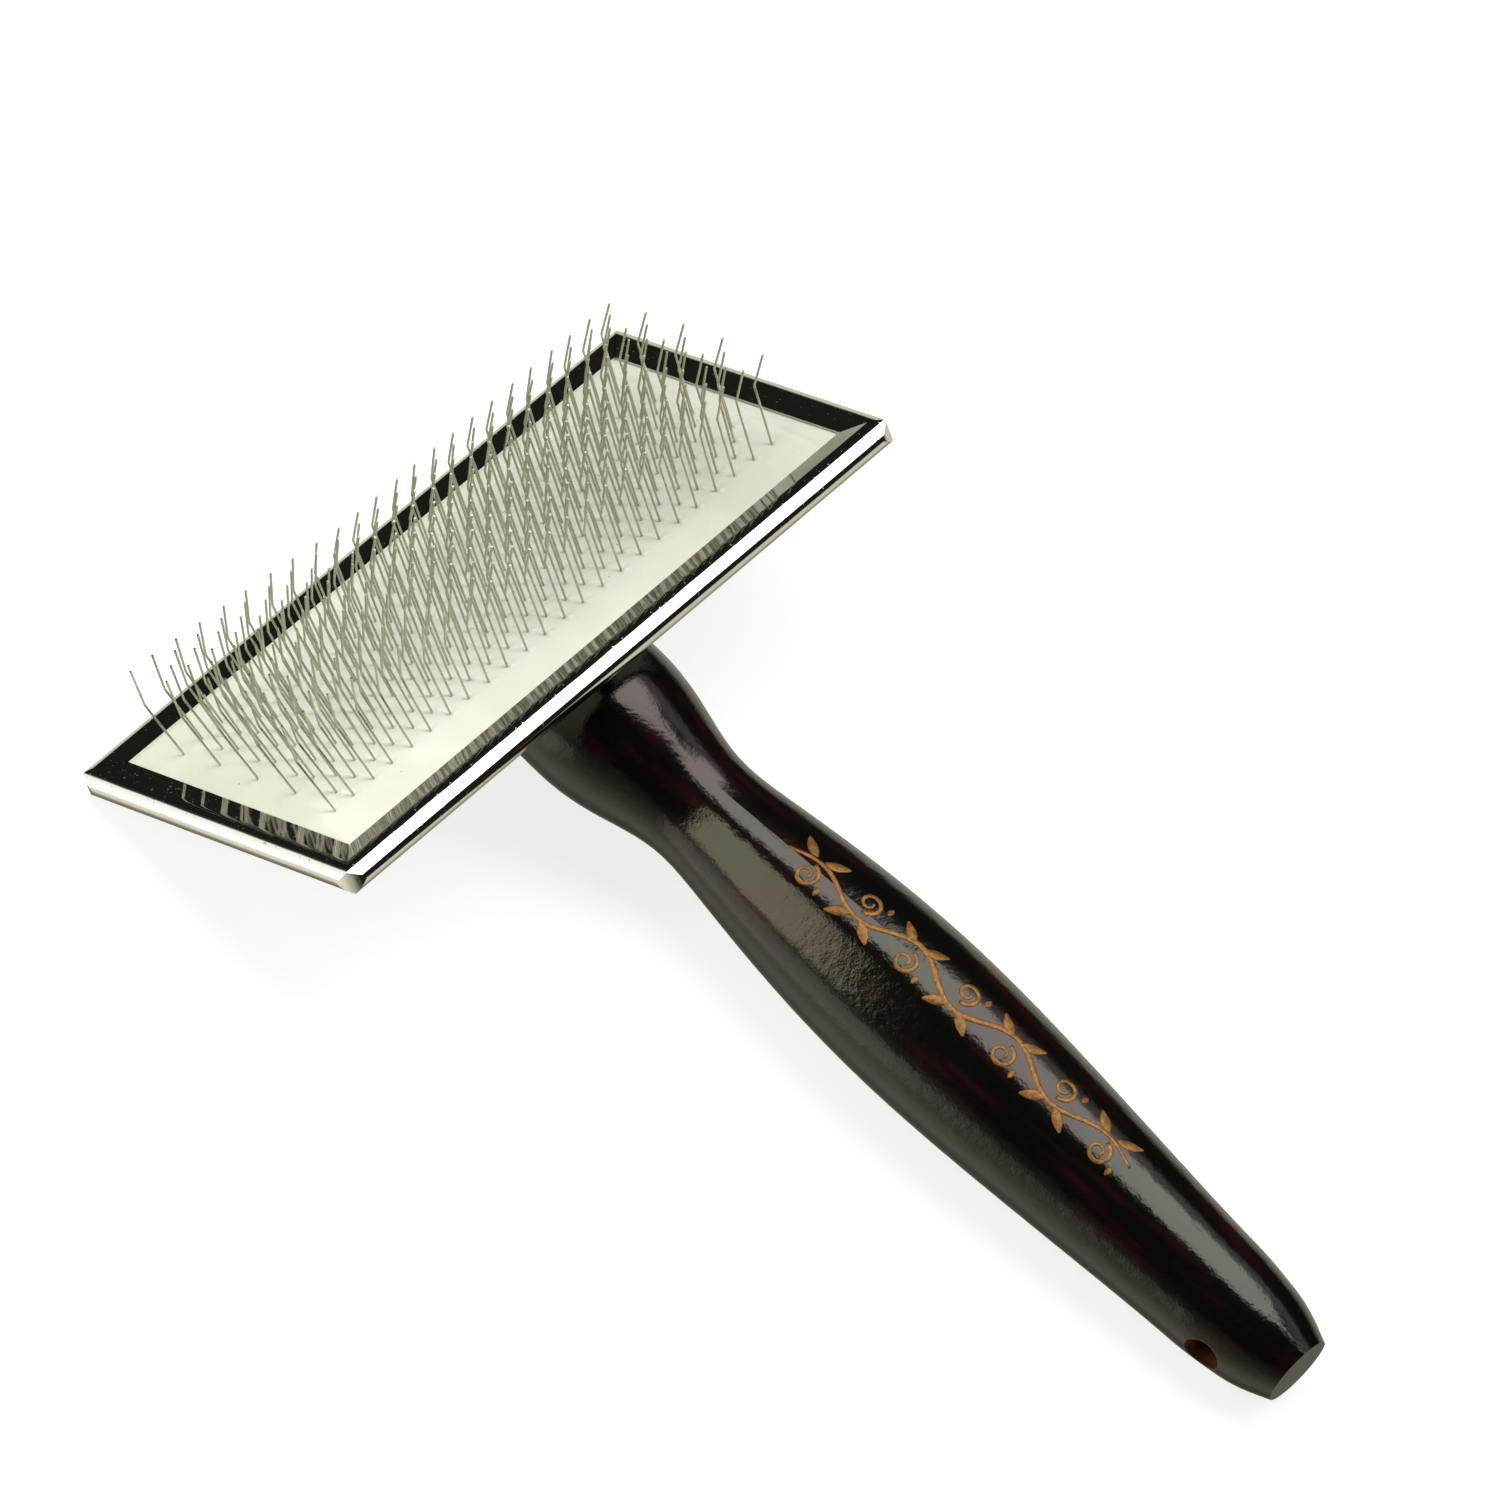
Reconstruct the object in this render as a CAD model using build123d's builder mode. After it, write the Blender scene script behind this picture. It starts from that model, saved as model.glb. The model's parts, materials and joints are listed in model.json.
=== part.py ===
from build123d import *
from math import atan2, acos, cos, degrees, hypot, radians, sin, sqrt, tan
import os

# Slicker brush, lying on a table with its pins up.
# +X runs along the handle away from the head, +Y along the head's long side, +Z up.
# The origin is on the table, under the middle of the brush's box.
# Millimetres and degrees.

# ---- driving dimensions -------------------------------------------------------------------------

# Where the brush lies: its head leans back on its far edge and on the belly of the handle.
REST_TILT = 35.01  # head plane to table
HEAD_X = -70.25  # middle of the pad, along the table

# Pad, as seen inside the rim. X is the short side, towards the handle.
PAD_X = 50.5
PAD_Y = 103.0
PAD_CROWN = 2.0  # how far the middle stands above the edge
PAD_TUCK = 2.0  # how far the pad reaches in under the rim
PAD_END_FLAT = 44.0  # half length over which the pad keeps its full crown

FACING_THICK = 0.8
BACKING_THICK = 1.0

# Tray: one steel sheet, its edge rolled into a bead and turned in over the pad.
SHEET = 0.5
BEAD_R = 2.4
BEAD_OUT = 3.53  # middle of the bead, outwards from the pad's visible edge
BEAD_DROP = 1.4  # middle of the bead, below the pad's visible edge
CORNER_R = 3.4
SEAM = 0.14  # gap of the mitre in each corner

# Staples: two pins and the crown that joins them behind the backing.
WIRE_R = 0.175
ROWS = 13
ROW_PITCH = 2.87
STAPLE_PITCH = 8.0
STAPLE_WIDTH = 3.86
ROW_SHIFTS = (-1.0, 0.743, -1.943)  # shift along the head, repeating every third row
ROW_COUNTS = (12, 11, 11)  # staples in such a row
LOWER_LEG = 10.2
UPPER_LEG = 8.1
LOWER_LEAN = 3.6  # degrees towards the handle
UPPER_LEAN = 33.0
KNEE_R = 1.1
ROOT_R = 0.6
CROWN_R = 0.45
CROWN_DROP = 0.3  # middle of the crown, below the backing

# Splay of the pins near the two ends of the head.
SPLAY_START = 12.0
SPLAY_END = 46.0
FAR_LOWER_LEAN = -10.0
FAR_UPPER_LEAN = 16.0
FAR_LOWER_SPREAD = -10.7
FAR_UPPER_SPREAD = -8.0
NEAR_SPREAD = 4.0
LEAN_SCATTER = 1.8  # degrees by which single pins stand off from their neighbours
SPREAD_SCATTER = 0.4

# Room for the pins to rock in the pad.
FACING_HOLE_R = 0.34
BACKING_HOLE_R = 0.56
GROOVE_HALF = 0.68
GROOVE_DEPTH = 0.72

# Handle: a turned piece of wood, cut off at a slant where it meets the tray.
HANDLE_DROP = 38.65  # head plane to handle axis
HANDLE_START_X = 3.0  # where the axis meets the tray's back
HANDLE_LENGTH = 161.0
TOE = (-15.0, 8.6)  # distance along the axis and radius, here and below
HEAD_END = (-3.0, 12.1)
ROOT = (19.0, 12.6)
SHOULDER = (29.0, 11.3)
NECK = (38.6, 9.16)
SWELL = (48.5, 9.74)
GRIP = (62.0, 11.42)
BELLY = (81.5, 12.67)
WAIST = (105.0, 12.0)
TAIL = (143.0, 9.38)
HEEL = (153.0, 8.35)
BUTT = (HANDLE_LENGTH, 5.7)
HOLE_FROM_BUTT = 11.2
HOLE_R = 2.9

# Screws through the tray into the handle.
SCREW_X = (-4.0, 12.0)
SCREW_SHANK_R = 1.45
SCREW_LENGTH = 9.5
SCREW_HEAD_R = 3.2
SCREW_HEAD_H = 1.9
SCREW_SLOT = 0.8
SCREW_SLOT_DEPTH = 0.8
SCREW_CLEARANCE = 0.15

# ---- what follows from them ---------------------------------------------------------------------

half_x = PAD_X / 2
half_y = PAD_Y / 2
bead_inner_r = BEAD_R - SHEET
bead_mid_r = BEAD_R - SHEET / 2
tray_back = -BEAD_DROP - BEAD_R
tray_floor = tray_back + SHEET
outer_x = half_x + BEAD_OUT + BEAD_R
outer_y = half_y + BEAD_OUT + BEAD_R

# The turned-in flange runs straight from the pad's edge to the bead, which it meets at this angle.
flange_reach = hypot(BEAD_OUT, BEAD_DROP + SHEET / 2)
flange_angle = degrees(atan2(BEAD_DROP + SHEET / 2, -BEAD_OUT) - acos(bead_mid_r / flange_reach))

# The pad's crown is an arc across X, and falls away at the two ends of Y.
crown_radius = (half_x**2 + PAD_CROWN**2) / (2 * PAD_CROWN)
end_run = half_y - PAD_END_FLAT
end_radius = (end_run**2 + PAD_CROWN**2) / (2 * PAD_CROWN)

bead_low = -(half_x + BEAD_OUT) * sin(radians(REST_TILT)) - BEAD_DROP * cos(radians(REST_TILT))
head_z = BEAD_R - bead_low
head_across = (cos(radians(REST_TILT)), 0, sin(radians(REST_TILT)))
head_normal = (-sin(radians(REST_TILT)), 0, cos(radians(REST_TILT)))
head = Plane(origin=(HEAD_X, 0, head_z), x_dir=head_across, z_dir=head_normal)

handle_pitch = radians(REST_TILT - HANDLE_DROP)
handle_origin = head.from_local_coords(Vector(HANDLE_START_X, 0, tray_back))
handle_along = (cos(handle_pitch), 0, sin(handle_pitch))
handle_plane = Plane(origin=handle_origin, x_dir=handle_along, z_dir=(0, -1, 0))
hole_at = HANDLE_LENGTH - HOLE_FROM_BUTT


def head_plane(height):
    """The plane of the pad's edge, moved along the pad's normal."""
    return head.offset(height)


def side_plane(x):
    """An upright plane across the head, with the head's Y and Z, at a distance towards the handle."""
    return Plane(origin=head.from_local_coords(Vector(x, 0, 0)), x_dir=(0, 1, 0), z_dir=head_across)


def end_plane(y):
    """An upright plane across the head, with the head's X and Z, at a distance along the head."""
    return Plane(origin=head.from_local_coords(Vector(0, y, 0)), x_dir=head_across, z_dir=(0, -1, 0))


def pad_height(x):
    """Height of the facing's outer face above the pad's visible edge."""
    return PAD_CROWN - crown_radius + sqrt(crown_radius**2 - x**2)


# ---- pad ----------------------------------------------------------------------------------------


def pad_block(depth):
    """The pad's whole outline from the tray's floor up to its outer face, less a depth."""
    edge_x = half_x + PAD_TUCK
    edge_y = half_y + PAD_TUCK
    edge_drop = PAD_CROWN - end_radius + sqrt(end_radius**2 - (edge_y - PAD_END_FLAT) ** 2)
    bend = (edge_y + PAD_END_FLAT) / 2
    bend_drop = PAD_CROWN - end_radius + sqrt(end_radius**2 - (bend - PAD_END_FLAT) ** 2)
    with BuildPart() as block:
        with BuildSketch(end_plane(0)):
            with BuildLine():
                Polyline(
                    (edge_x, pad_height(edge_x) - depth),
                    (edge_x, tray_floor),
                    (-edge_x, tray_floor),
                    (-edge_x, pad_height(edge_x) - depth),
                )
                ThreePointArc(
                    (-edge_x, pad_height(edge_x) - depth),
                    (0, PAD_CROWN - depth),
                    (edge_x, pad_height(edge_x) - depth),
                )
            make_face()
        extrude(amount=edge_y, both=True)
        with BuildSketch(side_plane(0)):
            with BuildLine():
                Polyline(
                    (edge_y, edge_drop - depth),
                    (edge_y, tray_floor),
                    (-edge_y, tray_floor),
                    (-edge_y, edge_drop - depth),
                )
                ThreePointArc(
                    (-edge_y, edge_drop - depth),
                    (-bend, bend_drop - depth),
                    (-PAD_END_FLAT, PAD_CROWN - depth),
                )
                Line((-PAD_END_FLAT, PAD_CROWN - depth), (PAD_END_FLAT, PAD_CROWN - depth))
                ThreePointArc(
                    (PAD_END_FLAT, PAD_CROWN - depth),
                    (bend, bend_drop - depth),
                    (edge_y, edge_drop - depth),
                )
            make_face()
        extrude(amount=edge_x + 1, both=True, mode=Mode.INTERSECT)
    return block.part


def row_x(row):
    """Where a row of staples stands, counted from the side away from the handle."""
    return (row - (ROWS - 1) / 2) * ROW_PITCH


def staple_centres(row):
    """The middles of a row's staples along the head."""
    phase = row % len(ROW_SHIFTS)
    count = ROW_COUNTS[phase]
    first = ROW_SHIFTS[phase] - (count - 1) / 2 * STAPLE_PITCH
    return [first + i * STAPLE_PITCH for i in range(count)]


def leg_roots(row):
    """Where a row's pins leave the facing, along the head."""
    return [y + side * STAPLE_WIDTH / 2 for y in staple_centres(row) for side in (-1, 1)]


pin_roots = [(row_x(row), y) for row in range(ROWS) for y in leg_roots(row)]

with BuildPart() as pad_facing:
    add(pad_block(0))
    add(pad_block(FACING_THICK), mode=Mode.SUBTRACT)
    with BuildSketch(head_plane(tray_floor)):
        with Locations(*pin_roots):
            Circle(FACING_HOLE_R)
    extrude(amount=PAD_CROWN - tray_floor + 1, mode=Mode.SUBTRACT)
pad_facing.part.label = "pad_facing"

with BuildPart() as pad_backing:
    add(pad_block(FACING_THICK))
    add(pad_block(FACING_THICK + BACKING_THICK), mode=Mode.SUBTRACT)
    with BuildSketch(head_plane(tray_floor)):
        with Locations(*pin_roots):
            Circle(BACKING_HOLE_R)
    extrude(amount=PAD_CROWN - tray_floor + 1, mode=Mode.SUBTRACT)
pad_backing.part.label = "pad_backing"

# The cushion is grooved under each row for the crowns, and hollowed over the screw heads.
with BuildPart() as cushion:
    add(pad_block(FACING_THICK + BACKING_THICK))
    for row in range(ROWS):
        groove_floor = pad_height(row_x(row)) - FACING_THICK - BACKING_THICK - GROOVE_DEPTH
        with BuildSketch(head_plane(groove_floor)):
            with Locations((row_x(row), 0)):
                Rectangle(2 * GROOVE_HALF, PAD_Y - 4)
        extrude(amount=GROOVE_DEPTH + PAD_CROWN, mode=Mode.SUBTRACT)
    with BuildSketch(head_plane(tray_floor)):
        with Locations(*[(x, 0) for x in SCREW_X]):
            Circle(SCREW_HEAD_R + 0.4)
    extrude(amount=SCREW_HEAD_H + 0.2, mode=Mode.SUBTRACT)
cushion.part.label = "cushion"

# ---- tray ---------------------------------------------------------------------------------------


def rim_point(radius, angle):
    """A point on an arc about the bead's middle, in the section of the side next to the handle."""
    out = half_x + BEAD_OUT + radius * cos(radians(angle))
    return (out, -BEAD_DROP + radius * sin(radians(angle)))


def rim(filled):
    """The rim all round, mitred in its corners: the rolled sheet, or the same outline filled in."""
    lean = Vector(cos(radians(flange_angle)), sin(radians(flange_angle)))
    tip = Vector(half_x, SHEET / 2)
    tip_top = tip + lean * SHEET / 2
    tip_low = tip - lean * SHEET / 2
    inner = half_x - 1
    with BuildPart() as sides:
        with BuildLine() as path:
            corners = [(half_x, half_y), (-half_x, half_y), (-half_x, -half_y), (half_x, -half_y)]
            route = [Vector(half_x, 0, 0)] + [Vector(x, y, 0) for x, y in corners]
            Polyline(*[head.from_local_coords(point) for point in route], close=True)
        with BuildSketch(end_plane(0)):
            with BuildLine():
                Line((inner, tray_back), rim_point(BEAD_R, -90))
                ThreePointArc(rim_point(BEAD_R, -90), rim_point(BEAD_R, 0), rim_point(BEAD_R, flange_angle))
                if filled:
                    Line(rim_point(BEAD_R, flange_angle), (inner, -BEAD_DROP + BEAD_R))
                    Line((inner, -BEAD_DROP + BEAD_R), (inner, tray_back))
                else:
                    Line(rim_point(BEAD_R, flange_angle), tip_top)
                    Line(tip_top, tip_low)
                    Line(tip_low, rim_point(bead_inner_r, flange_angle))
                    ThreePointArc(
                        rim_point(bead_inner_r, flange_angle),
                        rim_point(bead_inner_r, 0),
                        rim_point(bead_inner_r, -90),
                    )
                    Polyline(rim_point(bead_inner_r, -90), (inner, tray_floor), (inner, tray_back))
            make_face()
        sweep(path=path.wire(), transition=Transition.RIGHT)
    return sides.part


def plan_prism(inset):
    """The head's plan with its round corners, less an inset, over the full height of the rim."""
    with BuildPart() as prism:
        with BuildSketch(head_plane(tray_back - 1)):
            RectangleRounded(2 * (outer_x - inset), 2 * (outer_y - inset), CORNER_R - inset)
        extrude(amount=2 * BEAD_R + 3)
    return prism.part


with BuildPart() as corner_walls:
    add(rim(filled=True))
    add(plan_prism(0), mode=Mode.INTERSECT)
    add(plan_prism(SHEET), mode=Mode.SUBTRACT)
    with BuildSketch(head_plane(tray_back - 1)):
        with GridLocations(2 * outer_x, 2 * outer_y, 2, 2):
            Rectangle(2 * CORNER_R, 2 * CORNER_R)
    extrude(amount=2 * BEAD_R + 3, mode=Mode.INTERSECT)

with BuildPart() as tray:
    add(rim(filled=False))
    add(plan_prism(0), mode=Mode.INTERSECT)
    add(corner_walls.part)
    with BuildSketch(head_plane(tray_back)):
        Rectangle(2 * half_x, 2 * half_y)
        with Locations(*[(x, 0) for x in SCREW_X]):
            Circle(SCREW_SHANK_R + SCREW_CLEARANCE, mode=Mode.SUBTRACT)
    extrude(amount=SHEET)
    for x in (-half_x, half_x):
        for y in (-half_y, half_y):
            seam_turn = 45 if x * y > 0 else -45
            with BuildSketch(head_plane(-BEAD_DROP)):
                with Locations(Location((x, y), seam_turn)):
                    Rectangle(2 * BEAD_OUT * sqrt(2), SEAM)
            extrude(amount=2 * BEAD_R, mode=Mode.SUBTRACT)
tray.part.label = "tray"

# ---- tray screws --------------------------------------------------------------------------------

with BuildPart() as tray_screws:
    with BuildSketch(head_plane(tray_floor)):
        with Locations(*[(x, 0) for x in SCREW_X]):
            Circle(SCREW_HEAD_R)
    extrude(amount=SCREW_HEAD_H)
    fillet(tray_screws.edges().filter_by(GeomType.CIRCLE).group_by(Axis((0, 0, 0), head_normal))[-1], 0.7)
    with BuildSketch(head_plane(tray_floor)):
        with Locations(*[(x, 0) for x in SCREW_X]):
            Circle(SCREW_SHANK_R)
    extrude(amount=-SCREW_LENGTH)
    with BuildSketch(head_plane(tray_floor + SCREW_HEAD_H)):
        with Locations(*[(x, 0) for x in SCREW_X]):
            Rectangle(SCREW_SLOT, 3 * SCREW_HEAD_R)
    extrude(amount=-SCREW_SLOT_DEPTH, mode=Mode.SUBTRACT)
tray_screws.part.label = "tray_screws"

# ---- handle -------------------------------------------------------------------------------------

with BuildPart() as handle:
    with BuildSketch(handle_plane):
        with BuildLine():
            Line((TOE[0], 0), TOE)
            Spline(TOE, HEAD_END, ROOT, tangents=[(0.5, 1), (1, 0)])
            Spline(ROOT, SHOULDER, NECK, SWELL, GRIP, BELLY, WAIST, TAIL, HEEL, tangents=[(1, 0), (1, -0.15)])
            Spline(HEEL, BUTT, tangents=[(1, -0.15), (1, -0.42)])
            Line(BUTT, (BUTT[0], 0))
            Line((BUTT[0], 0), (TOE[0], 0))
        make_face()
    revolve(axis=Axis(handle_origin, handle_along))
    with BuildSketch(head_plane(tray_back)):
        Rectangle(2 * outer_x, outer_x)
    extrude(amount=2 * outer_x, mode=Mode.SUBTRACT)
    with BuildSketch(handle_plane):
        with Locations((hole_at, 0)):
            Circle(HOLE_R)
    extrude(amount=2 * BELLY[1], both=True, mode=Mode.SUBTRACT)
    with BuildSketch(head_plane(tray_back)):
        with Locations(*[(x, 0) for x in SCREW_X]):
            Circle(SCREW_SHANK_R)
    extrude(amount=-SCREW_LENGTH, mode=Mode.SUBTRACT)
handle.part.label = "handle"

# ---- staples ------------------------------------------------------------------------------------


def blend(y, middle, far, near):
    """A lean that goes from its middle value to its values at the two ends of the head."""
    share = min(max((abs(y) - SPLAY_START) / (SPLAY_END - SPLAY_START), 0), 1)
    return middle + (near - middle if y > 0 else far - middle) * share


def scatter(x, y):
    """A share from -1 to 1 of a pin's own lean, spread evenly over the rows."""
    return sin(7.3 * x + 2.9 * y)


def leg_step(lean, spread, length):
    """The step along a stretch of pin that leans towards the handle and spreads along the head."""
    direction = Vector(tan(radians(lean)), tan(radians(spread)), 1)
    return direction.normalized() * length


def staple(x, y):
    """One staple, from pin tip through its crown to pin tip."""
    root_z = pad_height(x)
    crown_z = root_z - FACING_THICK - BACKING_THICK - CROWN_DROP
    points = []
    for side in (-1, 1):
        leg_y = y + side * STAPLE_WIDTH / 2
        root = Vector(x, leg_y, root_z)
        lower_spread = blend(leg_y, 0, FAR_LOWER_SPREAD, NEAR_SPREAD)
        upper_spread = blend(leg_y, 0, FAR_UPPER_SPREAD, NEAR_SPREAD)
        lower_lean = blend(leg_y, LOWER_LEAN, FAR_LOWER_LEAN, LOWER_LEAN)
        upper_lean = blend(leg_y, UPPER_LEAN, FAR_UPPER_LEAN, UPPER_LEAN)
        own_lean = LEAN_SCATTER * scatter(x, leg_y)
        own_spread = SPREAD_SCATTER * scatter(leg_y, x)
        knee = root + leg_step(lower_lean + own_lean, lower_spread + own_spread, LOWER_LEG)
        tip = knee + leg_step(upper_lean - own_lean, upper_spread + own_spread, UPPER_LEG)
        points.append([tip, knee, root, Vector(x, leg_y, crown_z)])
    route = [head.from_local_coords(point) for point in points[0] + points[1][::-1]]
    with BuildPart() as wire:
        with BuildLine() as path:
            FilletPolyline(*route, radius=[KNEE_R, ROOT_R, CROWN_R, CROWN_R, ROOT_R, KNEE_R])
        with BuildSketch(Plane(origin=path.line @ 0, z_dir=path.line % 0)):
            Circle(WIRE_R)
        sweep()
    return wire.part


pin_rows = []
for row in range(ROWS):
    with BuildPart() as pin_row:
        for y in staple_centres(row):
            add(staple(row_x(row), y))
    pin_row.part.label = f"pin_row_{row + 1:02d}"
    pin_rows.append(pin_row)

# ---- export -------------------------------------------------------------------------------------

os.makedirs("parts", exist_ok=True)
for piece in [handle, tray, tray_screws, cushion, pad_backing, pad_facing, *pin_rows]:
    export_step(piece.part, f"parts/{piece.part.label}.step")
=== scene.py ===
import json
import math

import bpy
import numpy as np
from mathutils import Matrix, Vector
from mathutils.bvhtree import BVHTree


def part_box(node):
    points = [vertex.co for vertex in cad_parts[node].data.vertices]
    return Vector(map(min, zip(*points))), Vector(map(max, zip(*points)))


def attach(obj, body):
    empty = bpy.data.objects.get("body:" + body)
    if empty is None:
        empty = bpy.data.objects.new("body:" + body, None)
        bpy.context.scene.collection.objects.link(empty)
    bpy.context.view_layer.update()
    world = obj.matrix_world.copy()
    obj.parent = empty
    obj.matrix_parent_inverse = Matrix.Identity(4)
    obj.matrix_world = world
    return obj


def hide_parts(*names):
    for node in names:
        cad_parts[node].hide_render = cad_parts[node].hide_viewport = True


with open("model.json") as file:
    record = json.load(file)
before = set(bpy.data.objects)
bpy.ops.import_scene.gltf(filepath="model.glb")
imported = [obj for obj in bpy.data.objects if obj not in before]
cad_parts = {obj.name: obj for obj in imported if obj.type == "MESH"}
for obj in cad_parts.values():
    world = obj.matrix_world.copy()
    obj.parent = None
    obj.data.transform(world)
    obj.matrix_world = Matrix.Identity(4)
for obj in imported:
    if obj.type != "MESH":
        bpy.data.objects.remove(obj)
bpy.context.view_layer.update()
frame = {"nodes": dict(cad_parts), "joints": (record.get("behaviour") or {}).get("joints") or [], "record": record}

MM = 0.001

# ---- the head's own axes, read from the pivots of the first and last rows of staples ------------
PIVOT_HEIGHT = 0.673  # mm from the plane of the pad's edge up to the pivots
pivots = [Vector(joint["pos_m"]) for joint in frame["joints"]]
across = (pivots[-1] - pivots[0]).normalized()
along = Vector((0, 1, 0))
normal = across.cross(along)
head_origin = (pivots[0] + pivots[-1]) / 2 - normal * PIVOT_HEIGHT * MM

# ---- facing: mm in the head's axes ----------------------------------------------------------------
HALF_X, HALF_Y = 25.25, 51.5
TUCK = 2.0
CROWN = 2.0
END_FLAT = 44.0
THICK = 0.8
GRID = 0.3
side_radius = (HALF_X**2 + CROWN**2) / (2 * CROWN)
end_radius = ((HALF_Y - END_FLAT) ** 2 + CROWN**2) / (2 * CROWN)

# ---- staples' lattice -------------------------------------------------------------------------------
ROW_PITCH = 2.87
STAPLE_PITCH = 8.0
STAPLE_WIDTH = 3.86
ROW_SHIFTS = (-1.0, 0.743, -1.943)
ROW_COUNTS = (12, 11, 11)

# ---- dimples and lips where the pins leave the facing: mm ------------------------------------------
DIMPLE_DEPTH, DIMPLE_REACH = 0.20, 1.25
HOLE_DEPTH, HOLE_REACH = 0.22, 0.45
LIP_HEIGHT, LIP_REACH = 0.5, 0.38
LIP_X, LIP_Y = 0.6, 0.2  # from the root to the lip's middle
CREASE_DEPTH, CREASE_REACH = 0.12, 0.5
CREASE_Y, CREASE_SLANT = 47.6, 0.02
FLAT_MARGIN = 2.0  # the relief fades out over this much at the skin's edge

# ---- handle's hanging hole and ornament: mm along the handle and round it --------------------------
BARE_REACH, LACQUER_REACH = 2.95, 3.15  # from the hole's middle line
ORNAMENT_START, ORNAMENT_END = 105.0, 36.0  # before the butt
ORNAMENT_HALF = 4.0
GILT_THICK = 0.10
# across each stroke: shares of its half width and of the gilt's thickness
GILT_PROFILE = ((-1, -0.6), (-0.9, 0.45), (-0.5, 0.9), (0, 1.0), (0.5, 0.9), (0.9, 0.45), (1, -0.6))
ABOVE_ALL = 0.2  # m, higher than anything in the scene
BENDS = 7
CURL_TURN = 2.7 * math.pi

# ---- camera and lights: m and directions -----------------------------------------------------------
LENS, SENSOR = 413.63, 36  # mm
CAMERA_PLACE = (0.66702, -1.08230, 2.16921)
CAMERA_BACK = (0.27639, -0.43555, 0.85668)
CAMERA_RIGHT = (-0.63835, 0.58315, 0.50244)
FLOOR_HALF = 3.0
FILL_WAY = (-0.5, 0.25, 0.83)
FILL_DISTANCE = 1.2
FILL_WATTS, FILL_SIZE = 5.0, 1.0
SHEET_LIGHT = (0.9, 0.89, 0.86)
KEY_LIGHT = (4.3, 4.25, 4.2)
FRINGE_LIGHT = (0.8, 0.8, 0.78)
SIDE_LIGHT = (3.1, 3.15, 2.4)
WARM_PAPER = (1.0, 0.985, 0.78, 1)
FRONT_GREYS = (  # the ground's greys from straight down, 0, to straight up, 1
    (0, 0.5), (0.03, 0.6), (0.07, 0.9), (0.23, 0.8),
    (0.465, 0.31), (0.58, 0.15), (0.68, 0.01),
)
REST_GREYS = (
    (0, 0.15), (0.1, 0.35), (0.2, 0.62),
    (0.35, 0.6), (0.42, 0.012), (0.7, 0.012),
)


# ---- nodes ------------------------------------------------------------------------------------------


def add(tree, kind, inputs=None, **settings):
    """A node with its settings, and each input either linked or set."""
    node = tree.nodes.new(kind)
    for key, value in settings.items():
        setattr(node, key, value)
    for key, value in (inputs or {}).items():
        if isinstance(value, bpy.types.NodeSocket):
            tree.links.new(value, node.inputs[key])
        else:
            node.inputs[key].default_value = value
    return node


def calc(tree, operation, *values):
    """One step of arithmetic on numbers or sockets."""
    return add(tree, "ShaderNodeMath", dict(enumerate(values)), operation=operation).outputs[0]


def step(tree, value, low, high):
    """0 below low, 1 above high, smooth between them; low may be the greater."""
    node = add(
        tree,
        "ShaderNodeMapRange",
        {"Value": value, "From Min": low, "From Max": high},
        interpolation_type="SMOOTHSTEP",
    )
    return node.outputs["Result"]


def window(tree, value, low, high, soft_low, soft_high):
    """1 between low and high, 0 outside, with an edge of its own softness at each end."""
    rise = step(tree, value, low - soft_low, low + soft_low)
    fall = step(tree, value, high + soft_high, high - soft_high)
    return calc(tree, "MULTIPLY", rise, fall)


def curve(tree, value, stops):
    """A grey ramp over value 0..1, with stops (place, grey)."""
    ramp = add(tree, "ShaderNodeValToRGB", {"Fac": value})
    elements = ramp.color_ramp.elements
    while len(elements) < len(stops):
        elements.new(0.5)
    for element, (place, grey) in zip(elements, stops):
        element.position = place
        element.color = (grey, grey, grey, 1)
    return ramp.outputs["Color"]


def tint(tree, amount, low, high):
    """From one colour to another by an amount."""
    node = add(
        tree,
        "ShaderNodeMix",
        {"Factor": amount, 6: (*low, 1), 7: (*high, 1)},
        data_type="RGBA",
    )
    return node.outputs[2]


def blend(tree, amount, low, high):
    """From one colour socket to another by an amount."""
    node = add(tree, "ShaderNodeMix", {"Factor": amount, 6: low, 7: high}, data_type="RGBA")
    return node.outputs[2]


def object_place(tree):
    """Where a point lies in its own object, in metres."""
    return add(tree, "ShaderNodeTexCoord").outputs["Object"]


def noise(tree, scale, detail=2.0, rough=0.5, stretch=(1, 1, 1)):
    """Cloudy grey, 0..1; a stretch under 1 draws it out along that axis."""
    place = object_place(tree)
    mapped = add(tree, "ShaderNodeMapping", {"Vector": place, "Scale": stretch}).outputs[0]
    inputs = {"Vector": mapped, "Scale": scale, "Detail": detail, "Roughness": rough}
    return add(tree, "ShaderNodeTexNoise", inputs).outputs["Fac"]


def cells(tree, scale):
    """Distance to the middle of the nearest of many small cells."""
    inputs = {"Vector": object_place(tree), "Scale": scale}
    return add(tree, "ShaderNodeTexVoronoi", inputs).outputs["Distance"]


def bump(tree, height, strength, distance, below=None):
    """A normal from a height, on top of the relief below it if there is one."""
    inputs = {"Height": height, "Strength": strength, "Distance": distance}
    if below is not None:
        inputs["Normal"] = below
    return add(tree, "ShaderNodeBump", inputs).outputs["Normal"]


def look(name, metallic=0.0, roughness=0.5):
    """A new material with its node tree and its shader."""
    material = bpy.data.materials.new(name)
    material.use_nodes = True
    shader = material.node_tree.nodes["Principled BSDF"]
    shader.inputs["Metallic"].default_value = metallic
    shader.inputs["Roughness"].default_value = roughness
    return material, material.node_tree, shader


def feed(tree, shader, **sockets):
    """Links each value to the shader's input of that name."""
    for name, value in sockets.items():
        tree.links.new(value, shader.inputs[name.replace("_", " ")])


# ---- materials --------------------------------------------------------------------------------------


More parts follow.
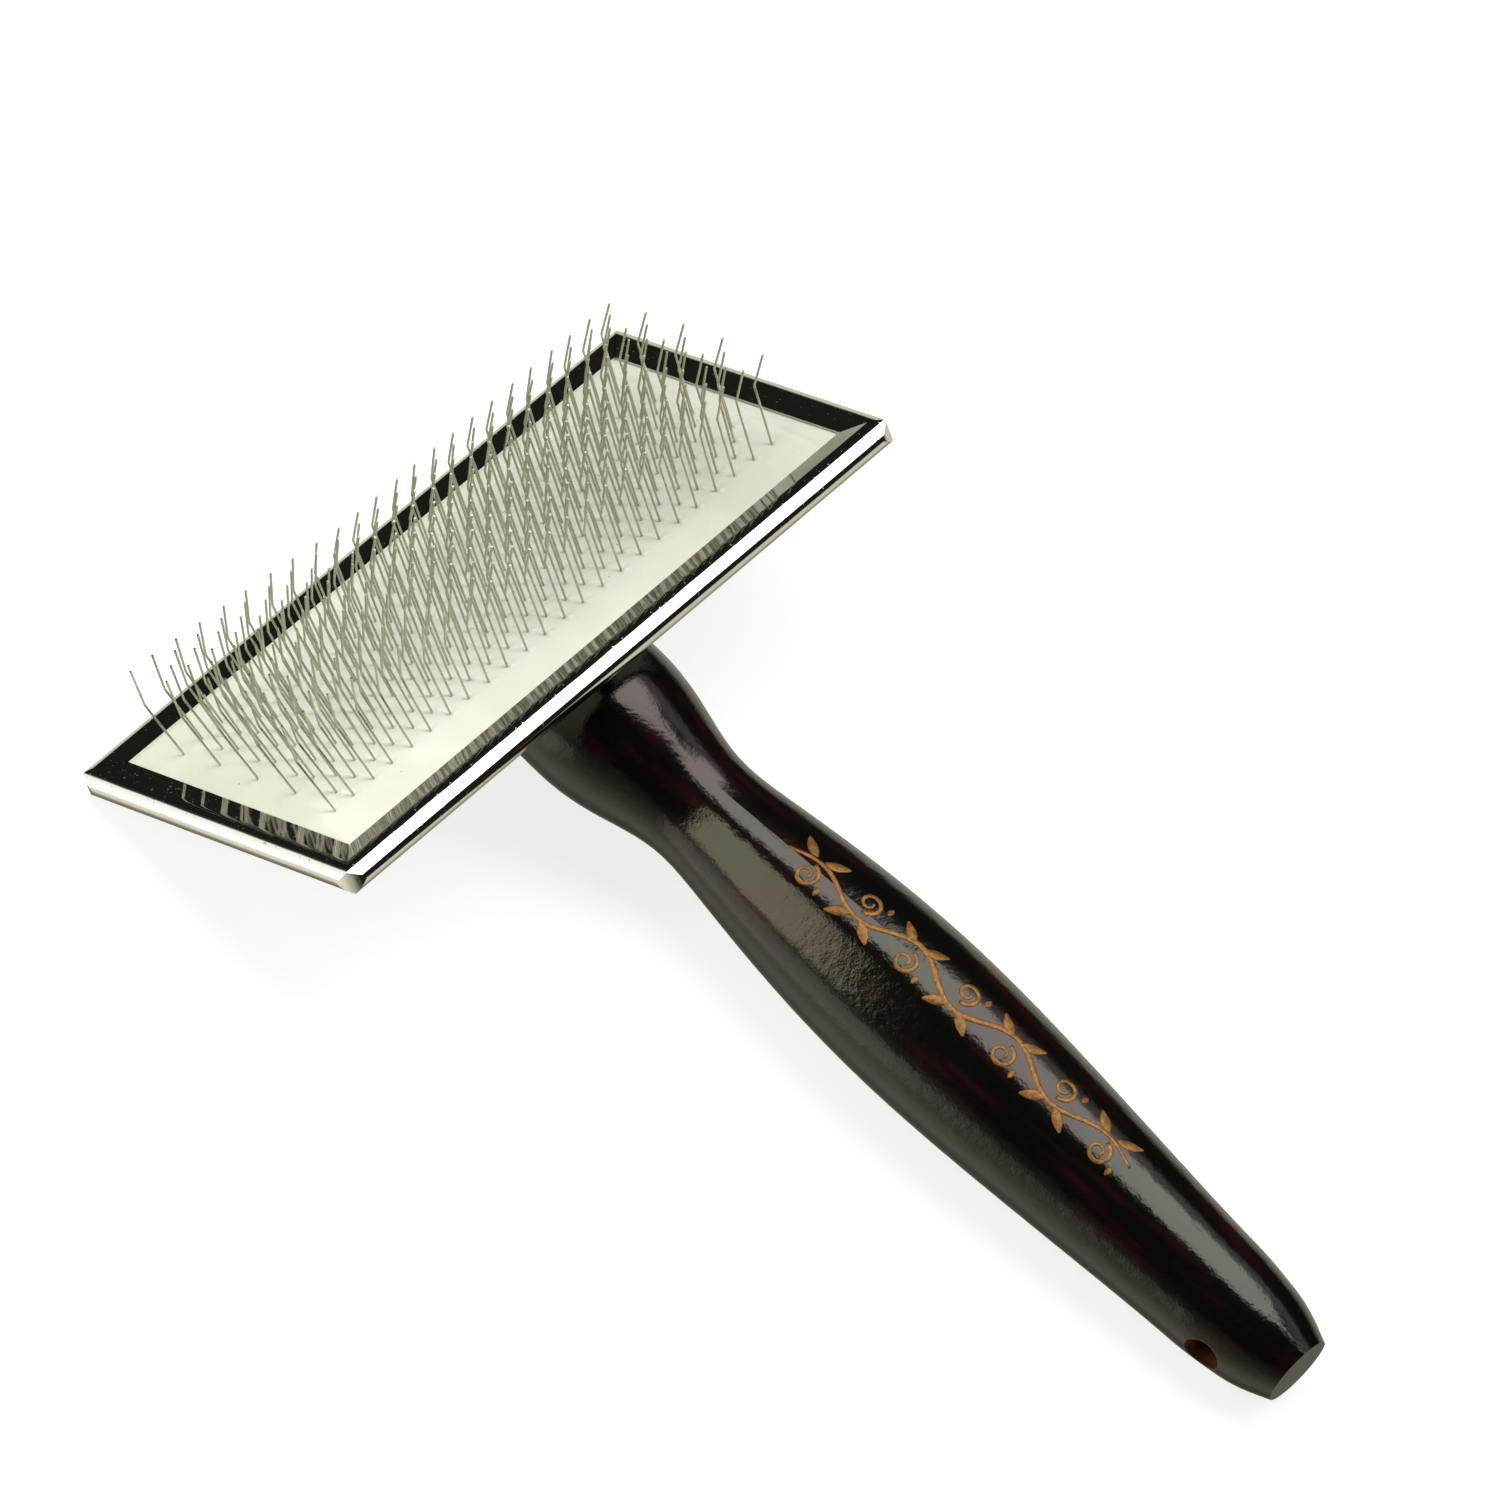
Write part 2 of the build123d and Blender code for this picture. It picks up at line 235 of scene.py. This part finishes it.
def reach_from_hole(tree):
    """Distance from the middle line of the hanging hole, which runs along Y."""
    hole = tuple(frame["record"]["mounts"][0]["pos_m"])
    inputs = {0: object_place(tree), 1: hole}
    offset = add(tree, "ShaderNodeVectorMath", inputs, operation="SUBTRACT").outputs[0]
    inputs = {0: offset, 1: (1, 0, 1)}
    flat = add(tree, "ShaderNodeVectorMath", inputs, operation="MULTIPLY").outputs[0]
    return add(tree, "ShaderNodeVectorMath", {0: flat}, operation="LENGTH").outputs["Value"]


def lacquered_wood():
    """Near-black mahogany under lacquer, with the bare wood showing in the hanging hole, darkened there as painted
    shade of the hole's inside.
    """
    material, tree, shader = look("lacquered_mahogany", roughness=0.1)
    blush = step(tree, noise(tree, 28, detail=1), 0.4, 0.6)
    feed(tree, shader, Specular_Tint=tint(tree, blush, (1.0, 0.86, 0.8), (0.93, 0.96, 0.83)))
    grain = noise(tree, 420, detail=4, stretch=(0.12, 1, 1))
    streaks = step(tree, grain, 0.46, 0.72)
    lacquer = tint(tree, streaks, (0.0032, 0.0027, 0.0023), (0.013, 0.0036, 0.0038))
    bare = step(tree, reach_from_hole(tree), LACQUER_REACH * MM, BARE_REACH * MM)
    fibres = noise(tree, 900, detail=3, stretch=(0.1, 1, 1))
    # bare wood colour, darkened as painted shade standing in for the shade inside the hanging hole
    bare_wood_and_painted_shade = tint(tree, fibres, (0.03, 0.011, 0.005), (0.13, 0.048, 0.02))
    feed(tree, shader, Base_Color=blend(tree, bare, lacquer, bare_wood_and_painted_shade))
    gloss = calc(tree, "ADD", 0.085, calc(tree, "MULTIPLY", noise(tree, 900), 0.09))
    rough = add(tree, "ShaderNodeMix", {"Factor": bare, 2: gloss, 3: 0.75})
    feed(tree, shader, Roughness=rough.outputs[0])
    peel = bump(tree, noise(tree, 650, detail=3, rough=0.6), 0.28, 0.00018)
    fine = bump(tree, noise(tree, 2600, detail=2), 0.12, 0.00006, peel)
    feed(tree, shader, Normal=fine)
    return material


def chrome_sheet():
    """Bright chrome plate with a little haze and tiny specks."""
    material, tree, shader = look("chrome_plate", metallic=1.0)
    specks = step(tree, noise(tree, 2200, detail=1), 0.7, 0.78)
    feed(tree, shader, Base_Color=tint(tree, specks, (0.86, 0.85, 0.82), (0.5, 0.44, 0.38)))
    haze = calc(tree, "MULTIPLY", noise(tree, 300, detail=3), 0.05)
    worn = calc(tree, "ADD", calc(tree, "ADD", 0.03, haze), calc(tree, "MULTIPLY", specks, 0.3))
    feed(tree, shader, Roughness=worn)
    wave = bump(tree, noise(tree, 90, detail=1), 0.25, 0.0004)
    pits = bump(tree, specks, 0.35, 0.00004, wave)
    feed(tree, shader, Normal=pits)
    return material


def pin_wire():
    """Drawn steel wire, plated, with faint marks along it."""
    material, tree, shader = look("pin_steel", metallic=1.0)
    marks = noise(tree, 1800, detail=3, rough=0.6)
    feed(tree, shader, Base_Color=tint(tree, marks, (0.32, 0.31, 0.25), (0.62, 0.60, 0.51)))
    feed(tree, shader, Roughness=calc(tree, "ADD", 0.2, calc(tree, "MULTIPLY", marks, 0.2)))
    feed(tree, shader, Normal=bump(tree, marks, 0.3, 0.00003))
    return material


def facing_rubber():
    """Pale rubber skin with a matt grain, soft stains and a few specks, and painted shade that darkens it towards
    the +Y end.
    """
    material, tree, shader = look("facing_rubber_skin", roughness=0.55)
    stains = step(tree, noise(tree, 75, detail=3), 0.3, 0.75)
    near = tint(tree, stains, (0.80, 0.83, 0.73), (0.88, 0.91, 0.82))
    # painted shade: towards +Y the skin's colours fall to about three quarters, standing in for less light at that
    # end
    far_painted_shade = tint(tree, stains, (0.61, 0.63, 0.54), (0.68, 0.70, 0.61))
    y = add(tree, "ShaderNodeSeparateXYZ", {0: object_place(tree)}).outputs["Y"]
    # painted shade: the skin darkens smoothly from the -Y end to the +Y end
    skin = blend(tree, step(tree, y, -HALF_Y * MM, HALF_Y * MM), near, far_painted_shade)
    specks = step(tree, cells(tree, 420), 0.07, 0.04)
    few = calc(tree, "MULTIPLY", specks, step(tree, noise(tree, 160, detail=1), 0.55, 0.6))
    feed(tree, shader, Base_Color=blend(tree, few, skin, (0.16, 0.14, 0.1, 1)))
    grain = bump(tree, noise(tree, 3200, detail=3, rough=0.65), 0.35, 0.00006)
    feed(tree, shader, Normal=bump(tree, noise(tree, 500, detail=2), 0.3, 0.00014, grain))
    return material


def gilt():
    """Gold foil, slightly worn."""
    material, tree, shader = look("gilt_foil", metallic=0.5)
    worn = noise(tree, 1400, detail=4, rough=0.65)
    shine = step(tree, worn, 0.35, 0.7)
    feed(tree, shader, Base_Color=tint(tree, shine, (0.16, 0.07, 0.014), (0.36, 0.17, 0.036)))
    feed(tree, shader, Roughness=calc(tree, "ADD", 0.32, calc(tree, "MULTIPLY", worn, 0.25)))
    feed(tree, shader, Normal=bump(tree, worn, 0.5, 0.00005))
    return material


def cushion_foam():
    """Yellowish foam with open cells, darker at each cell's middle as painted shade in its hollow."""
    material, tree, shader = look("cushion_foam_cells", roughness=0.9)
    pore_depth_and_painted_shade = cells(tree, 900)
    # painted shade: darker at the middle of each cell, where the bump below makes a hollow
    feed(tree, shader, Base_Color=tint(tree, pore_depth_and_painted_shade, (0.28, 0.24, 0.15), (0.66, 0.6, 0.42)))
    feed(tree, shader, Normal=bump(tree, pore_depth_and_painted_shade, 0.6, 0.0003))
    return material


def backing_cloth():
    """Plain weave of undyed threads, darker in the gaps between them as painted shade."""
    material, tree, shader = look("backing_weave", roughness=0.85)
    inputs = {"Vector": object_place(tree), "Scale": 900.0, "Distortion": 0.6}
    threads = [
        add(tree, "ShaderNodeTexWave", inputs, bands_direction=direction).outputs["Fac"]
        for direction in ("X", "Y")
    ]
    weave_and_painted_shade = calc(tree, "MAXIMUM", *threads)
    # painted shade: darker where the weave is low, in the gaps between the threads
    feed(tree, shader, Base_Color=tint(tree, weave_and_painted_shade, (0.24, 0.22, 0.18), (0.5, 0.47, 0.4)))
    feed(tree, shader, Normal=bump(tree, weave_and_painted_shade, 0.5, 0.00015))
    return material


def screw_steel():
    """Zinc-plated steel, a little dull."""
    material, tree, shader = look("screw_zinc", metallic=1.0)
    marks = noise(tree, 1100, detail=4)
    feed(tree, shader, Base_Color=tint(tree, marks, (0.4, 0.39, 0.36), (0.68, 0.66, 0.6)))
    feed(tree, shader, Roughness=calc(tree, "ADD", 0.2, calc(tree, "MULTIPLY", marks, 0.25)))
    feed(tree, shader, Normal=bump(tree, marks, 0.25, 0.00005))
    return material


# ---- pieces -----------------------------------------------------------------------------------------


def new_piece(name, points, faces, material):
    """A smooth-shaded mesh object in the scene."""
    mesh = bpy.data.meshes.new(name)
    mesh.from_pydata([tuple(p) for p in points], [], faces)
    mesh.update()
    mesh.shade_smooth()
    obj = bpy.data.objects.new(name, mesh)
    obj.data.materials.append(material)
    bpy.context.scene.collection.objects.link(obj)
    return obj


def pin_roots():
    """Where the pins leave the facing: rows of x, y in the head's axes."""
    roots = []
    for row in range(len(pivots)):
        phase = row % len(ROW_SHIFTS)
        first = ROW_SHIFTS[phase] - (ROW_COUNTS[phase] - 1) / 2 * STAPLE_PITCH
        for staple in range(ROW_COUNTS[phase]):
            for side in (-1, 1):
                y = first + staple * STAPLE_PITCH + side * STAPLE_WIDTH / 2
                roots.append(((row - (len(pivots) - 1) / 2) * ROW_PITCH, y))
    return np.array(roots)


def bell(distance, reach):
    """1 at no distance, falling smoothly to about a third at the reach."""
    return np.exp(-((distance / reach) ** 2))


def crown(x, y):
    """The facing's height in mm over the plane of its edge."""
    over = np.maximum(np.abs(y) - END_FLAT, 0)
    sides = CROWN - side_radius + np.sqrt(side_radius**2 - x**2)
    ends = CROWN - end_radius + np.sqrt(end_radius**2 - over**2)
    return np.minimum(sides, ends)


def relief(x, y):
    """Dimples, holes and lips at the pins' roots, and a crease across one end."""
    height = np.zeros_like(x)
    for root_x, root_y in pin_roots():
        dx, dy = x - root_x, y - root_y
        reach = np.hypot(dx, dy)
        height -= DIMPLE_DEPTH * bell(reach, DIMPLE_REACH)
        height -= HOLE_DEPTH * bell(reach, HOLE_REACH)
        height += LIP_HEIGHT * bell(np.hypot(dx - LIP_X, dy - LIP_Y), LIP_REACH)
    inside_rim = x > -HALF_X
    crease = CREASE_DEPTH * bell(y - CREASE_Y - CREASE_SLANT * x, CREASE_REACH) * inside_rim
    end_fade = np.clip((HALF_Y + TUCK - np.abs(y)) / FLAT_MARGIN, 0, 1)
    side_fade = np.clip((HALF_X + TUCK - np.abs(x)) / FLAT_MARGIN, 0, 1)
    return (height - crease) * end_fade * side_fade


def slab_faces(count_x, count_y):
    """Faces of a slab: a grid on top, the same grid below it and the walls between them."""
    faces = []
    under = count_x * count_y
    for i in range(count_x - 1):
        for j in range(count_y - 1):
            a = i * count_y + j
            b, c, d = a + count_y, a + count_y + 1, a + 1
            faces.append((a, b, c, d))
            faces.append((a + under, d + under, c + under, b + under))
    ring = list(range(count_y))
    ring += [i * count_y + count_y - 1 for i in range(1, count_x)]
    ring += [(count_x - 1) * count_y + j for j in range(count_y - 2, -1, -1)]
    ring += [i * count_y for i in range(count_x - 2, 0, -1)]
    for a, b in zip(ring, ring[1:] + ring[:1]):
        faces.append((a, b, b + under, a + under))
    return faces


def facing(material):
    """The rubber skin: crowned, drawn in softly by every pin and lipped beside each one."""
    count_x = round(2 * (HALF_X + TUCK) / GRID) + 1
    count_y = round(2 * (HALF_Y + TUCK) / GRID) + 1
    xs = np.linspace(-HALF_X - TUCK, HALF_X + TUCK, count_x)
    ys = np.linspace(-HALF_Y - TUCK, HALF_Y + TUCK, count_y)
    x, y = np.meshgrid(xs, ys, indexing="ij")
    top = crown(x, y) + relief(x, y)
    heights = np.concatenate([top.ravel(), top.ravel() - THICK])
    flat_x, flat_y = np.tile(x.ravel(), 2), np.tile(y.ravel(), 2)
    axes = np.array([across, along, normal])
    points = np.array(head_origin) + np.stack([flat_x, flat_y, heights], 1) @ axes * MM
    obj = new_piece("facing_skin", points, slab_faces(count_x, count_y), material)
    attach(obj, "brush_head")
    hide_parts("pad_facing")


def stroke(place, width, count):
    """Points of one stroke: place(t) gives along 0..1 and across -1..1, width(t) half the width in mm."""
    return [(*place(i / count), width(i / count)) for i in range(count + 1)]


def stem():
    """The wavy line from end to end."""
    def place(t):
        return t, 0.5 * math.sin(BENDS * math.pi * t) * math.sin(math.pi * t) ** 0.3

    return stroke(place, lambda t: 0.2 + 0.3 * math.sin(math.pi * t) ** 0.4, 120)


def leaf(middle, side, lean):
    """A pointed leaf at the outside of a bend, leaning to either end."""
    def place(t):
        return middle + lean * (0.01 + 0.05 * t**0.7), side * (0.45 + 0.5 * t)

    return stroke(place, lambda t: 0.14 + 0.72 * math.sin(math.pi * t**0.7), 16)


def curl(middle, side):
    """A tendril that winds inwards, at the inside of a bend."""
    def place(t):
        radius = 1 - 0.75 * t
        across_stem = 0.4 - 0.48 * radius * math.cos(CURL_TURN * t)
        return middle + 0.03 * radius * math.sin(CURL_TURN * t), -side * across_stem

    return stroke(place, lambda t: 0.4 - 0.16 * t, 36)


def bud(middle, side):
    """A short drop beside the curl."""
    def place(t):
        return middle + 0.045, -side * (0.5 + 0.35 * t)

    return stroke(place, lambda t: 0.1 + 0.42 * math.sin(math.pi * t), 10)


def strokes():
    """A wavy stem with a pair of leaves, a curl and a bud in every bend."""
    lines = [stem()]
    for bend in range(BENDS):
        middle = (bend + 0.5) / BENDS
        side = 1 if bend % 2 == 0 else -1
        lines += [leaf(middle, side, -1), leaf(middle, side, 1)]
        lines += [curl(middle, side), bud(middle, side)]
    return lines


def ribbon_faces(base, count, width):
    """Faces of a closed ribbon of count rings with width points each, from point base on."""
    faces = []
    for i in range(count - 1):
        a = base + i * width
        for j in range(width - 1):
            faces.append((a + j, a + j + width, a + j + width + 1, a + j + 1))
        faces.append((a, a + width - 1, a + 2 * width - 1, a + width))
    last = base + (count - 1) * width
    faces.append(tuple(base + j for j in range(width)))
    faces.append(tuple(last + j for j in reversed(range(width))))
    return faces


def ornament():
    """A gilt scroll of leaves laid on the top of the handle."""
    handle = frame["nodes"]["handle"]
    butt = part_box("handle")[1][0]
    start, end = butt - ORNAMENT_START * MM, butt - ORNAMENT_END * MM
    corners = [handle.matrix_world @ v.co for v in handle.data.vertices]
    tree = BVHTree.FromPolygons(corners, [tuple(p.vertices) for p in handle.data.polygons])
    points, faces = [], []
    for line in strokes():
        faces += ribbon_faces(len(points), len(line), len(GILT_PROFILE))
        flat = [Vector((start + (end - start) * t, w * ORNAMENT_HALF * MM)) for t, w, _ in line]
        for i, (_, _, half) in enumerate(line):
            ahead = (flat[min(i + 1, len(flat) - 1)] - flat[max(i - 1, 0)]).normalized()
            side = Vector((-ahead.y, ahead.x))
            for offset, rise in GILT_PROFILE:
                spot = flat[i] + side * offset * half * MM
                above = Vector((spot.x, spot.y, ABOVE_ALL))
                hit, outward, _, _ = tree.ray_cast(above, Vector((0, 0, -1)))
                points.append(hit + outward * rise * GILT_THICK * MM)
    obj = new_piece("gilt_scroll", points, faces, gilt())
    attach(obj, "brush_head")


# ---- setting ----------------------------------------------------------------------------------------


def camera():
    """A long lens above the near end of the head."""
    data = bpy.data.cameras.new("camera")
    data.lens = LENS
    data.sensor_width = SENSOR
    data.clip_end = 20
    obj = bpy.data.objects.new("camera", data)
    back = Vector(CAMERA_BACK).normalized()
    right = Vector(CAMERA_RIGHT).cross(back).normalized()
    rotation = Matrix((right, back.cross(right), back)).transposed().to_4x4()
    obj.matrix_world = Matrix.Translation(CAMERA_PLACE) @ rotation
    bpy.context.scene.collection.objects.link(obj)
    bpy.context.scene.camera = obj


def floor():
    """Pale paper, bright enough to run into the white behind it, with soft shadows."""
    material, tree, shader = look("paper_floor", roughness=0.9)
    fibres = noise(tree, 60, detail=3)
    feed(tree, shader, Base_Color=tint(tree, fibres, (0.33, 0.33, 0.33), (0.36, 0.36, 0.36)))
    shader.inputs["Emission Color"].default_value = (1, 1, 1, 1)
    shader.inputs["Emission Strength"].default_value = 0.8
    mesh = bpy.data.meshes.new("floor")
    signs = ((-1, -1), (1, -1), (1, 1), (-1, 1))
    corners = [(sign_x * FLOOR_HALF, sign_y * FLOOR_HALF, 0) for sign_x, sign_y in signs]
    mesh.from_pydata(corners, [], [(0, 1, 2, 3)])
    obj = bpy.data.objects.new("floor", mesh)
    obj.data.materials.append(material)
    obj.visible_glossy = False
    bpy.context.scene.collection.objects.link(obj)


def mix(tree, blend_type, low, high):
    """Two colours, each a socket or a value, multiplied or added."""
    node = add(
        tree,
        "ShaderNodeMix",
        {"Factor": 1.0, 6: low, 7: high},
        data_type="RGBA",
        blend_type=blend_type,
    )
    return node.outputs[2]


def ground(tree, y, z):
    """White ground towards -Y and greyer elsewhere, with dark walls above."""
    rise = calc(tree, "MULTIPLY_ADD", z, 0.5, 0.5)
    front = curve(tree, rise, FRONT_GREYS)
    rest = curve(tree, rise, REST_GREYS)
    towards_front = step(tree, y, -0.1, -0.8)
    return mix(tree, "MULTIPLY", blend(tree, towards_front, rest, front), WARM_PAPER)


def key_box(tree, slope_x, slope_y):
    """The soft box overhead: narrower towards +X, and its +Y half set over towards +X."""
    notch = calc(tree, "MULTIPLY", step(tree, slope_y, 0.43, 0.52), -0.3)
    taper = step(tree, slope_x, 0.05, 0.4)
    low_slant = calc(tree, "MULTIPLY_ADD", slope_x, 0.36, 0.17)
    high_slant = calc(tree, "MULTIPLY_ADD", slope_x, 0.3, -0.42)
    low_edge = calc(tree, "MULTIPLY_ADD", taper, low_slant, 0.03)
    high_edge = calc(tree, "MULTIPLY_ADD", taper, high_slant, 0.95)
    above_low = step(tree, calc(tree, "SUBTRACT", slope_y, low_edge), -0.03, 0.03)
    below_high = step(tree, calc(tree, "SUBTRACT", high_edge, slope_y), -0.12, 0.12)
    in_x = window(tree, calc(tree, "ADD", slope_x, notch), -0.6, 1.12, 0.06, 0.1)
    return calc(tree, "MULTIPLY", in_x, calc(tree, "MULTIPLY", above_low, below_high))


def fringe(tree, slope_x, slope_y):
    """A dim strip beyond the +Y edge of the soft box."""
    in_x = window(tree, slope_x, -0.25, 1.5, 0.1, 0.2)
    return calc(tree, "MULTIPLY", in_x, window(tree, slope_y, 0.9, 1.6, 0.1, 0.3))


def side_lamp(tree, x, y, z):
    """A greenish lamp towards -X and -Y, which shows on the handle's neck."""
    in_x = window(tree, x, -0.62, -0.28, 0.03, 0.03)
    in_y = window(tree, y, -0.93, -0.26, 0.05, 0.03)
    return calc(tree, "MULTIPLY", calc(tree, "MULTIPLY", in_x, in_y), step(tree, z, 0.08, 0.2))


def white_sheet(tree, x, y, z):
    """A white sheet standing low towards -X and -Y, which shows on the head's bead."""
    lean = calc(tree, "MULTIPLY_ADD", x, -0.62, calc(tree, "MULTIPLY", y, -0.78))
    in_z = window(tree, z, -0.62, 0.055, 0.2, 0.03)
    return calc(tree, "MULTIPLY", step(tree, lean, 0.79, 0.89), in_z)


def surroundings():
    """A studio: white ground in front, a soft box overhead, a side lamp, a sheet and dark walls."""
    world = bpy.data.worlds.new("studio")
    bpy.context.scene.world = world
    world.use_nodes = True
    tree = world.node_tree
    way = add(tree, "ShaderNodeTexCoord").outputs["Generated"]
    parts = add(tree, "ShaderNodeSeparateXYZ", {0: way}).outputs
    x, y, z = parts["X"], parts["Y"], parts["Z"]
    height = calc(tree, "MAXIMUM", z, 0.05)
    slope_x = calc(tree, "DIVIDE", x, height)
    slope_y = calc(tree, "DIVIDE", y, height)
    light = ground(tree, y, z)
    for amount, color in (
        (white_sheet(tree, x, y, z), SHEET_LIGHT),
        (key_box(tree, slope_x, slope_y), KEY_LIGHT),
        (fringe(tree, slope_x, slope_y), FRINGE_LIGHT),
        (side_lamp(tree, x, y, z), SIDE_LIGHT),
    ):
        light = mix(tree, "ADD", light, tint(tree, amount, (0, 0, 0), color))
    seen = add(tree, "ShaderNodeLightPath").outputs["Is Camera Ray"]
    backdrop = blend(tree, seen, light, (1, 1, 1, 1))
    tree.links.new(backdrop, tree.nodes["Background"].inputs["Color"])


def fill_light():
    """A wide, soft fill over the head."""
    data = bpy.data.lights.new("fill", "AREA")
    data.energy = FILL_WATTS
    data.size = FILL_SIZE
    obj = bpy.data.objects.new("fill", data)
    way = Vector(FILL_WAY).normalized()
    rotation = way.to_track_quat("Z", "Y").to_matrix().to_4x4()
    obj.matrix_world = Matrix.Translation(head_origin + way * FILL_DISTANCE) @ rotation
    obj.visible_glossy = False
    bpy.context.scene.collection.objects.link(obj)


# ---- scene ------------------------------------------------------------------------------------------

camera()
floor()
surroundings()
fill_light()

wire = pin_wire()
rubber = facing_rubber()
finishes = {
    "handle": lacquered_wood(),
    "tray": chrome_sheet(),
    "tray_screws": screw_steel(),
    "cushion": cushion_foam(),
    "pad_backing": backing_cloth(),
    "pad_facing": rubber,
}
for name, node in frame["nodes"].items():
    node.data.materials.clear()
    node.data.materials.append(finishes.get(name, wire))

facing(rubber)
ornament()

bpy.context.scene.view_settings.view_transform = "Standard"
